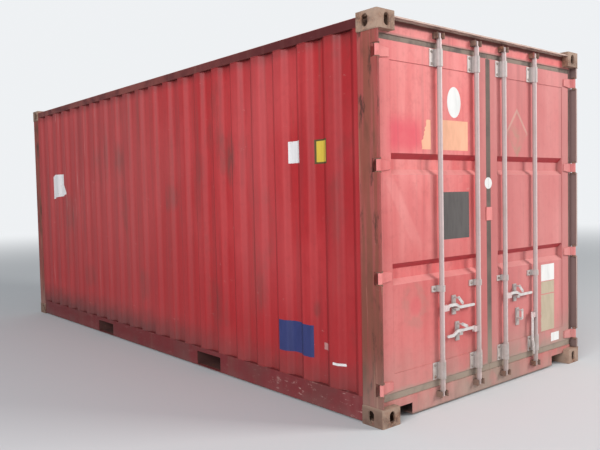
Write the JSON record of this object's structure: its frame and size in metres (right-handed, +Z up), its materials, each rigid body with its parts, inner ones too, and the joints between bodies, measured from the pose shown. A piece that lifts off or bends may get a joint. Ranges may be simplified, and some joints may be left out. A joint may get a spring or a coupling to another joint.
{
  "type": "twenty-foot shipping container",
  "caption": "Twenty-foot steel dry-freight container with corrugated walls, two hinged end doors, four lock rods with handles, corner castings and fork pockets, faded red and rusty.",
  "frame": {"origin": "middle of the underside of the bottom corner castings", "axes": "+X along the length towards the doors, +Y across to the right-hand door's side, +Z up"},
  "size_m": [6.058, 2.438, 2.591],
  "materials": {
    "red_paint": "faded satin with rust",
    "rusty_casting": "rusty",
    "worn_steel": "weathered",
    "galvanised": "dull zinc",
    "seal_rubber": "dusty",
    "floor_wood": "worn"
  },
  "bodies": {
    "container": {"bottom_corner_fittings": "rusty_casting", "door_top_fittings": "rusty_casting", "front_top_fittings": "rusty_casting", "left_door_post": "red_paint", "right_door_post": "red_paint", "front_corner_posts": "red_paint", "door_header": "red_paint", "door_sill": "red_paint", "cam_keepers": "worn_steel", "hinge_lugs": "worn_steel", "hinge_pins": "worn_steel", "front_top_rail": "red_paint", "front_sill": "red_paint", "top_side_rails": "red_paint", "bottom_side_rails": "red_paint", "left_side_wall": "red_paint", "right_side_wall": "red_paint", "front_wall": "red_paint", "roof": "red_paint", "roof_end_plates": "red_paint", "floor": "floor_wood", "cross_members": "red_paint", "fork_pockets": "red_paint"},
    "left_door": {"left_door_frame": "red_paint", "left_door_panel": "red_paint", "left_door_seal": "seal_rubber", "left_hinge_blades": "red_paint", "left_rod_brackets": "galvanised", "left_handle_catches": "galvanised"},
    "right_door": {"right_door_frame": "red_paint", "right_door_panel": "red_paint", "right_door_seal": "seal_rubber", "right_hinge_blades": "red_paint", "right_rod_brackets": "galvanised", "right_handle_catches": "galvanised", "lap_plate": "red_paint"},
    "lock_rod_1": {"lock_rod_1": "galvanised"},
    "handle_1": {"handle_1": "galvanised"},
    "hasp_1": {"hasp_1": "galvanised"},
    "lock_rod_2": {"lock_rod_2": "galvanised"},
    "handle_2": {"handle_2": "galvanised"},
    "hasp_2": {"hasp_2": "galvanised"},
    "lock_rod_3": {"lock_rod_3": "galvanised"},
    "handle_3": {"handle_3": "galvanised"},
    "hasp_3": {"hasp_3": "galvanised"},
    "lock_rod_4": {"lock_rod_4": "galvanised"},
    "handle_4": {"handle_4": "galvanised"},
    "hasp_4": {"hasp_4": "galvanised"}
  },
  "joints": [
    {"name": "left_door_hinge", "type": "hinge", "parent": "container", "child": "left_door", "pos_m": [3.004, -1.197, 1.291], "axis": [0, 0, -1], "range_deg": [0, 265]},
    {"name": "right_door_hinge", "type": "hinge", "parent": "container", "child": "right_door", "pos_m": [3.004, 1.197, 1.291], "axis": [0, 0, 1], "range_deg": [0, 265]},
    {"name": "lock_rod_1_turn", "type": "hinge", "parent": "left_door", "child": "lock_rod_1", "pos_m": [3.002, -0.588, 0.674], "axis": [0, 0, 1], "range_deg": [-100, 0]},
    {"name": "handle_1_lift", "type": "hinge", "parent": "lock_rod_1", "child": "handle_1", "pos_m": [3.002, -0.538, 0.674], "axis": [1, 0, 0], "range_deg": [0, 12]},
    {"name": "hasp_1_swing", "type": "hinge", "parent": "left_door", "child": "hasp_1", "pos_m": [3.0225, -0.428, 0.734], "axis": [1, 0, 0], "range_deg": [-45, 90]},
    {"name": "lock_rod_2_turn", "type": "hinge", "parent": "left_door", "child": "lock_rod_2", "pos_m": [3.002, -0.17, 0.485], "axis": [0, 0, -1], "range_deg": [-100, 0]},
    {"name": "handle_2_lift", "type": "hinge", "parent": "lock_rod_2", "child": "handle_2", "pos_m": [3.002, -0.22, 0.485], "axis": [-1, 0, 0], "range_deg": [0, 8]},
    {"name": "hasp_2_swing", "type": "hinge", "parent": "left_door", "child": "hasp_2", "pos_m": [3.0225, -0.392, 0.545], "axis": [1, 0, 0], "range_deg": [-68, 67]},
    {"name": "lock_rod_3_turn", "type": "hinge", "parent": "right_door", "child": "lock_rod_3", "pos_m": [3.002, 0.17, 0.674], "axis": [0, 0, 1], "range_deg": [-100, 0]},
    {"name": "handle_3_lift", "type": "hinge", "parent": "lock_rod_3", "child": "handle_3", "pos_m": [3.002, 0.22, 0.674], "axis": [1, 0, 0], "range_deg": [0, 12]},
    {"name": "hasp_3_swing", "type": "hinge", "parent": "right_door", "child": "hasp_3", "pos_m": [3.0225, 0.33, 0.734], "axis": [1, 0, 0], "range_deg": [-45, 90]},
    {"name": "lock_rod_4_turn", "type": "hinge", "parent": "right_door", "child": "lock_rod_4", "pos_m": [3.002, 0.588, 0.485], "axis": [0, 0, -1], "range_deg": [-90, 10]},
    {"name": "handle_4_lift", "type": "hinge", "parent": "lock_rod_4", "child": "handle_4", "pos_m": [3.01068, 0.53876, 0.485], "axis": [-0.9848, -0.1736, 0], "range_deg": [0, 98]},
    {"name": "hasp_4_swing", "type": "hinge", "parent": "right_door", "child": "hasp_4", "pos_m": [3.0225, 0.366, 0.545], "axis": [1, 0, 0], "range_deg": [0, 135]}
  ]
}
